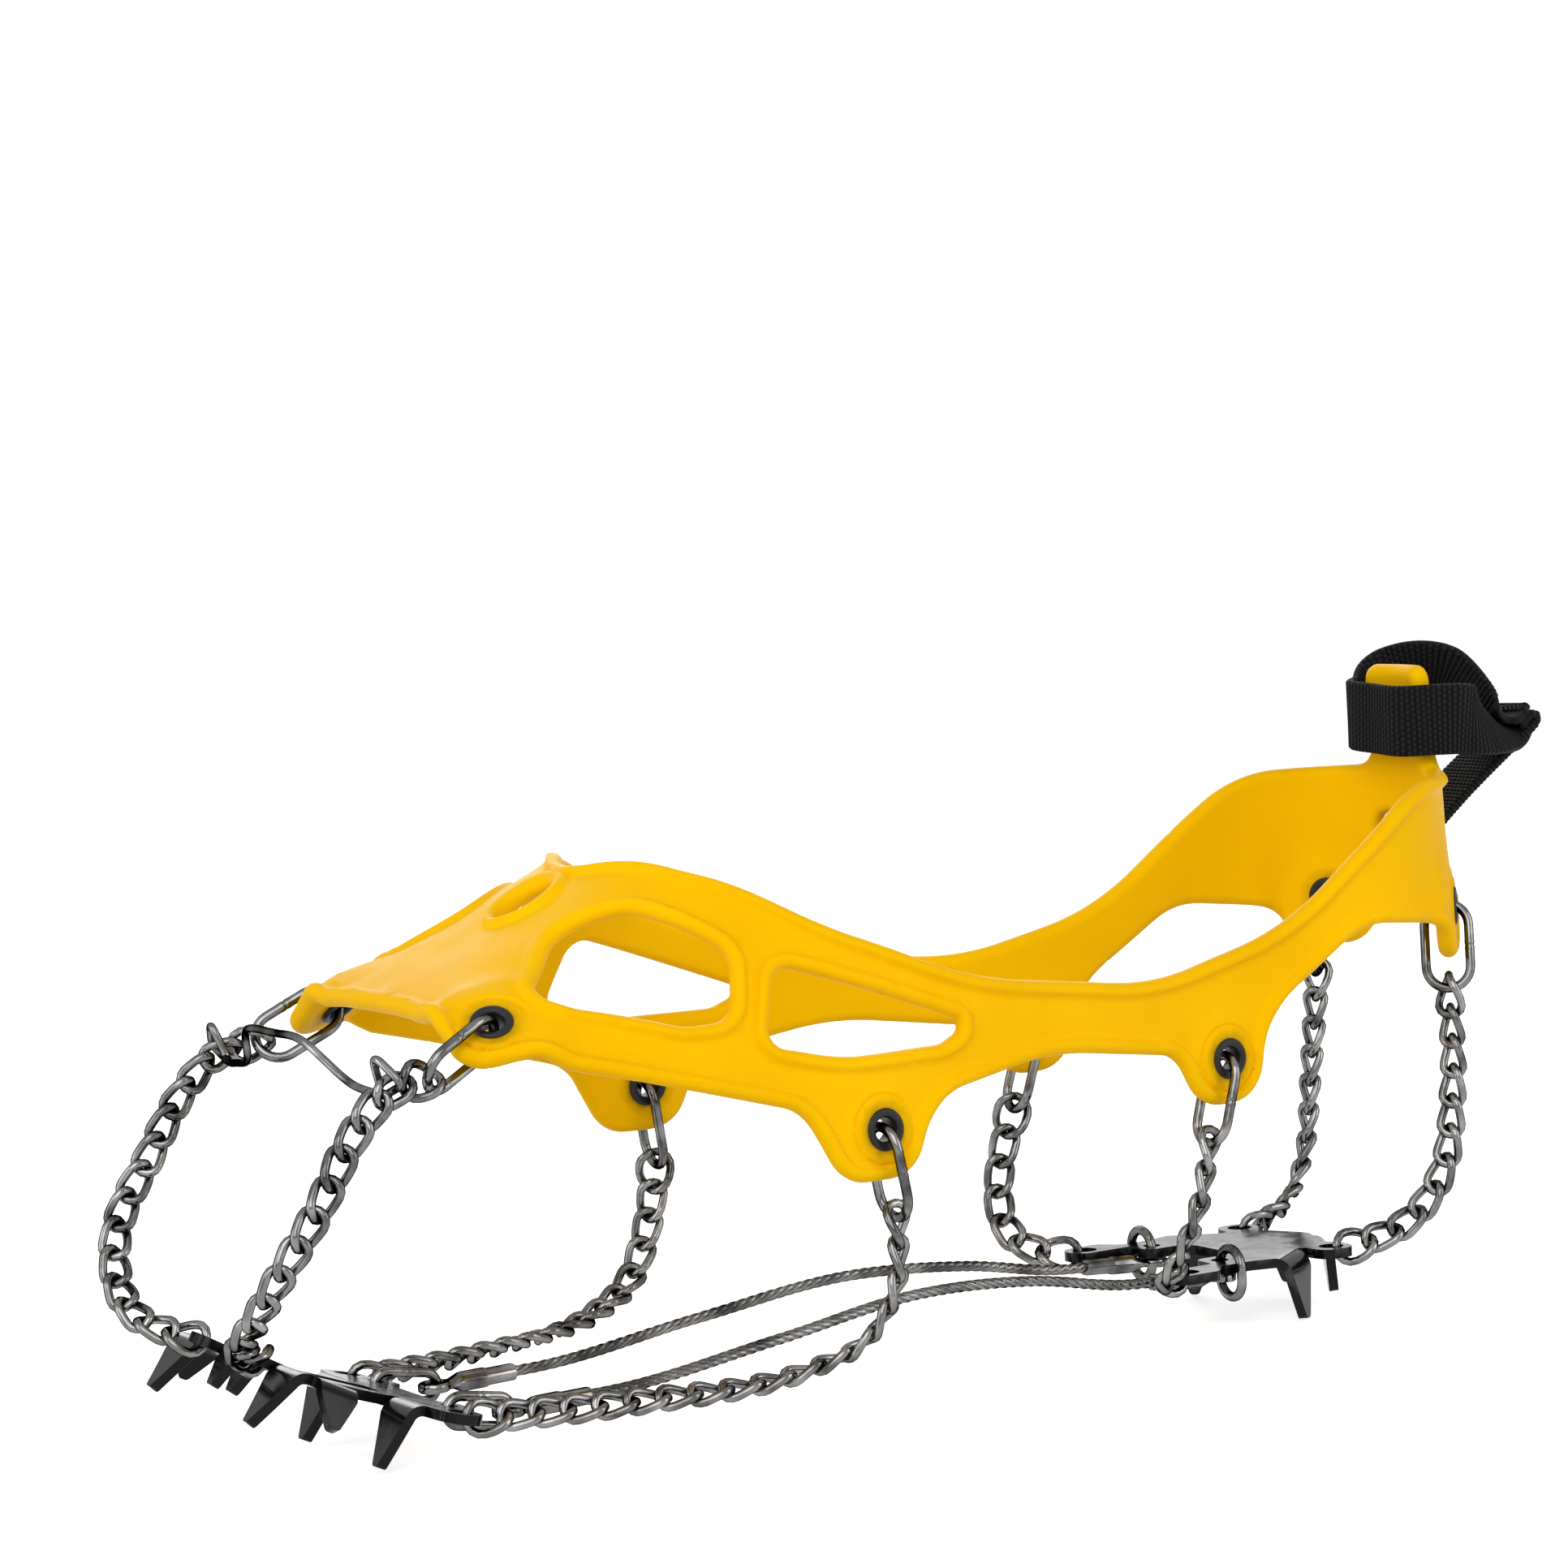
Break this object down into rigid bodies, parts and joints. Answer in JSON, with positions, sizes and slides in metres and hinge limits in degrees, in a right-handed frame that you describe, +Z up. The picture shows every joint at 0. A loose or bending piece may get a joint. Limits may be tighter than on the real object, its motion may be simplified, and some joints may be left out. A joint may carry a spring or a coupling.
{
  "type": "microspikes",
  "caption": "Elastomer shoe harness with steel rings and twisted-link chains that carry two spiked plates under the sole, with a toe bail, sole cables and a webbing heel strap.",
  "frame": {"origin": "middle of the underside of the bounding box, at the spike tips", "axes": "+X towards the toe, +Y to the left, +Z up"},
  "size_m": [0.3214, 0.1064, 0.1359],
  "materials": {
    "harness_elastomer": "satin moulded yellow",
    "grommet_black": "dark matt",
    "bright_steel": "bright",
    "black_steel": "gloss black",
    "webbing_black": "woven black"
  },
  "bodies": {
    "harness_and_plates": {"cable_left": "bright_steel", "cable_right": "bright_steel", "front_plate": "black_steel", "front_terminal_left": "bright_steel", "front_terminal_right": "bright_steel", "grommet_front_left": "grommet_black", "grommet_front_right": "grommet_black", "grommet_heel_left": "grommet_black", "grommet_heel_right": "grommet_black", "grommet_mid_left": "grommet_black", "grommet_mid_right": "grommet_black", "grommet_rear_left": "grommet_black", "grommet_rear_right": "grommet_black", "harness": "harness_elastomer", "heel_plate": "black_steel", "heel_terminal_left": "bright_steel", "heel_terminal_right": "bright_steel"},
    "ring_front_left": {"ring_front_left": "bright_steel"},
    "ring_front_right": {"ring_front_right": "bright_steel"},
    "ring_mid_left": {"ring_mid_left": "bright_steel"},
    "ring_mid_right": {"ring_mid_right": "bright_steel"},
    "ring_heel_left": {"ring_heel_left": "bright_steel"},
    "ring_heel_right": {"ring_heel_right": "bright_steel"},
    "ring_rear_left": {"ring_rear_left": "bright_steel"},
    "ring_rear_right": {"ring_rear_right": "bright_steel"},
    "chain_front_left": {"chain_front_left": "bright_steel"},
    "chain_front_right": {"chain_front_right": "bright_steel"},
    "chain_mid_left": {"chain_mid_left": "bright_steel"},
    "chain_mid_right": {"chain_mid_right": "bright_steel"},
    "chain_heel_left": {"chain_heel_left": "bright_steel"},
    "chain_heel_right": {"chain_heel_right": "bright_steel"},
    "chain_rear_left": {"chain_rear_left": "bright_steel"},
    "chain_rear_right": {"chain_rear_right": "bright_steel"},
    "toe_bail": {"toe_bail": "bright_steel"},
    "front_cable_link_left": {"front_cable_link_left": "bright_steel"},
    "front_cable_link_right": {"front_cable_link_right": "bright_steel"},
    "heel_cable_link_left": {"heel_cable_link_left": "bright_steel"},
    "heel_cable_link_right": {"heel_cable_link_right": "bright_steel"},
    "heel_strap": {"heel_strap": "webbing_black"}
  },
  "joints": [
    {"name": "ring_front_left_twist", "type": "hinge", "parent": "harness_and_plates", "child": "ring_front_left", "pos_m": [0.10679, 0.03447, 0.08264], "axis": [0.8769, 0.1753, -0.4476], "range_deg": [-14, 14]},
    {"name": "ring_front_right_twist", "type": "hinge", "parent": "harness_and_plates", "child": "ring_front_right", "pos_m": [0.10679, -0.03447, 0.08264], "axis": [-0.8769, 0.1753, 0.4476], "range_deg": [-14, 14]},
    {"name": "ring_mid_left_twist", "type": "hinge", "parent": "harness_and_plates", "child": "ring_mid_left", "pos_m": [0.03338, 0.04705, 0.05671], "axis": [-0.144, 0.0427, -0.9887], "range_deg": [-14, 14]},
    {"name": "ring_mid_right_twist", "type": "hinge", "parent": "harness_and_plates", "child": "ring_mid_right", "pos_m": [0.03338, -0.04705, 0.05671], "axis": [0.144, 0.0427, 0.9887], "range_deg": [-14, 14]},
    {"name": "ring_heel_left_twist", "type": "hinge", "parent": "harness_and_plates", "child": "ring_heel_left", "pos_m": [-0.05453, 0.03536, 0.05924], "axis": [0.2946, 0.0352, -0.955], "range_deg": [-14, 14]},
    {"name": "ring_heel_right_twist", "type": "hinge", "parent": "harness_and_plates", "child": "ring_heel_right", "pos_m": [-0.05453, -0.03536, 0.05924], "axis": [-0.2946, 0.0352, 0.955], "range_deg": [-14, 14]},
    {"name": "ring_rear_left_twist", "type": "hinge", "parent": "harness_and_plates", "child": "ring_rear_left", "pos_m": [-0.12311, 0.02012, 0.08215], "axis": [0.1366, 0.1833, -0.9735], "range_deg": [-14, 14]},
    {"name": "ring_rear_right_twist", "type": "hinge", "parent": "harness_and_plates", "child": "ring_rear_right", "pos_m": [-0.12311, -0.02012, 0.08215], "axis": [-0.1366, 0.1833, 0.9735], "range_deg": [-14, 14]},
    {"name": "chain_front_left_sway", "type": "hinge", "parent": "harness_and_plates", "child": "chain_front_left", "pos_m": [0.12982, 0.03888, 0.07424], "axis": [0.314, -0.4196, -0.8517], "range_deg": [-4, 4]},
    {"name": "chain_front_right_sway", "type": "hinge", "parent": "harness_and_plates", "child": "chain_front_right", "pos_m": [0.12982, -0.03888, 0.07424], "axis": [-0.314, -0.4196, 0.8517], "range_deg": [-4, 4]},
    {"name": "chain_mid_left_sway", "type": "hinge", "parent": "harness_and_plates", "child": "chain_mid_left", "pos_m": [0.03103, 0.04774, 0.04059], "axis": [0.9038, -0.2479, -0.3487], "range_deg": [-12, 12]},
    {"name": "chain_mid_right_sway", "type": "hinge", "parent": "harness_and_plates", "child": "chain_mid_right", "pos_m": [0.03103, -0.04774, 0.04059], "axis": [-0.9038, -0.2479, 0.3487], "range_deg": [-12, 12]},
    {"name": "chain_heel_left_sway", "type": "hinge", "parent": "harness_and_plates", "child": "chain_heel_left", "pos_m": [-0.04973, 0.03593, 0.04368], "axis": [-0.0718, -0.4489, -0.8907], "range_deg": [-12, 12]},
    {"name": "chain_heel_right_sway", "type": "hinge", "parent": "harness_and_plates", "child": "chain_heel_right", "pos_m": [-0.04973, -0.03593, 0.04368], "axis": [0.0718, -0.4489, 0.8907], "range_deg": [-12, 12]},
    {"name": "chain_rear_left_sway", "type": "hinge", "parent": "harness_and_plates", "child": "chain_rear_left", "pos_m": [-0.12088, 0.02311, 0.06628], "axis": [0.4371, -0.1002, -0.8938], "range_deg": [-12, 12]},
    {"name": "chain_rear_right_sway", "type": "hinge", "parent": "harness_and_plates", "child": "chain_rear_right", "pos_m": [-0.12088, -0.02311, 0.06628], "axis": [-0.4371, -0.1002, 0.8938], "range_deg": [-12, 12]},
    {"name": "toe_bail_swing", "type": "hinge", "parent": "harness_and_plates", "child": "toe_bail", "pos_m": [0.12992, 0, 0.07421], "axis": [0, 1, 0], "range_deg": [-11, 11]},
    {"name": "front_cable_link_left_twist", "type": "hinge", "parent": "harness_and_plates", "child": "front_cable_link_left", "pos_m": [0.11185, 0.016, 0.00947], "axis": [-0.9874, 0, -0.158], "range_deg": [-14, 14]},
    {"name": "front_cable_link_right_twist", "type": "hinge", "parent": "harness_and_plates", "child": "front_cable_link_right", "pos_m": [0.11185, -0.016, 0.00947], "axis": [0.9874, 0, 0.158], "range_deg": [-14, 14]},
    {"name": "heel_cable_link_left_swing", "type": "hinge", "parent": "harness_and_plates", "child": "heel_cable_link_left", "pos_m": [-0.06687, 0.0124, 0.01238], "axis": [0, 0, 1], "range_deg": [-15, 15]},
    {"name": "heel_cable_link_right_swing", "type": "hinge", "parent": "harness_and_plates", "child": "heel_cable_link_right", "pos_m": [-0.06687, -0.0124, 0.01238], "axis": [0, 0, -1], "range_deg": [-15, 15]},
    {"name": "heel_strap_swing", "type": "hinge", "parent": "harness_and_plates", "child": "heel_strap", "pos_m": [-0.12223, 0, 0.12016], "axis": [0, 1, 0], "range_deg": [-11, 11]}
  ]
}
